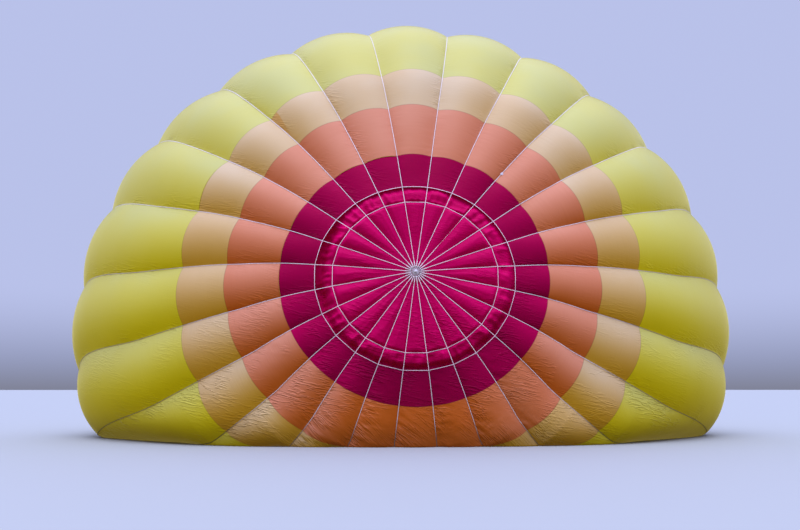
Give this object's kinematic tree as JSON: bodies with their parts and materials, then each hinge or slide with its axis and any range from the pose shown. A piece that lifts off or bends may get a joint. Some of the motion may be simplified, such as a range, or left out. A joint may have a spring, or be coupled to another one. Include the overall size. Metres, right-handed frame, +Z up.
{
  "type": "hot air balloon",
  "caption": "Hot air balloon lying on its side on the ground as cold air fills it, with a vent panel, flying wires, a gimballed burner and a wicker basket behind the mouth.",
  "frame": {"origin": "on the ground under the middle of the whole balloon's length and width, as it lies", "axes": "+Y from the crown to the basket, +Z up from the ground, +X to the right seen from the crown's side"},
  "size_m": [22.338, 20.042, 13.938],
  "materials": {
    "crimson": "coated ripstop nylon, dark crimson, slightly translucent",
    "vent_crimson": "coated ripstop nylon, bright crimson, slightly translucent",
    "orange": "coated ripstop nylon, soft orange, slightly translucent",
    "peach": "coated ripstop nylon, peach, slightly translucent",
    "yellow": "coated ripstop nylon, yellow, slightly translucent",
    "nomex": "heat-resistant woven band, dark crimson, matt",
    "tape": "white woven load tape",
    "aluminium": "bare, satin",
    "steel": "stainless, satin",
    "frame_steel": "stainless tube, satin",
    "can_steel": "stainless sheet, heat tinted",
    "brass": "satin",
    "wicker": "woven willow and cane",
    "wood": "varnished board and runners",
    "leather": "stitched leather over padding",
    "sleeve": "black padded sleeve on a rod",
    "jacket": "padded cloth jacket over a gas cylinder"
  },
  "bodies": {
    "balloon": {"envelope_crimson": "crimson", "envelope_orange_upper": "orange", "envelope_orange_lower": "orange", "envelope_peach_upper": "peach", "envelope_peach_lower": "peach", "envelope_front_top": "yellow", "envelope_front_right": "yellow", "envelope_front_ground": "yellow", "envelope_front_left": "yellow", "envelope_rear_top": "yellow", "envelope_rear_right": "yellow", "envelope_rear_ground": "yellow", "envelope_rear_left": "yellow", "mouth_band": "nomex", "vent_web": "tape", "crown_ring": "aluminium", "mouth_cable": "steel", "flying_wires_top_right": "steel", "flying_wires_bottom_right": "steel", "flying_wires_bottom_left": "steel", "flying_wires_top_left": "steel", "load_frame": "frame_steel", "basket_walls": "wicker", "basket_floor": "wood", "basket_rim": "leather", "basket_hide": "leather", "basket_runner_top": "wood", "basket_runner_middle": "wood", "basket_runner_bottom": "wood", "upright_top_right": "sleeve", "upright_bottom_right": "sleeve", "upright_bottom_left": "sleeve", "upright_top_left": "sleeve", "gas_cylinder_top_right": "jacket", "gas_cylinder_bottom_right": "jacket", "gas_cylinder_bottom_left": "jacket", "gas_cylinder_top_left": "jacket"},
    "vent": {"vent_panel": "vent_crimson"},
    "gimbal": {"gimbal_ring": "frame_steel"},
    "burner": {"burner_block": "steel", "burner_can_right": "can_steel", "burner_can_left": "can_steel", "blast_valve_right": "brass", "blast_valve_left": "brass"}
  },
  "joints": [
    {"name": "vent_slide", "type": "slide", "parent": "balloon", "child": "vent", "axis": [0, 1, 0], "range_m": [0, 1.2], "stiffness_N_per_m": 30},
    {"name": "gimbal_tilt", "type": "hinge", "parent": "balloon", "child": "gimbal", "pos_m": [0, 8.13074, 0.56], "axis": [1, 0, 0], "range_deg": [-15, 15]},
    {"name": "burner_tilt", "type": "hinge", "parent": "gimbal", "child": "burner", "pos_m": [0, 8.13074, 0.56], "axis": [0, 0, 1], "range_deg": [-15, 15]}
  ]
}
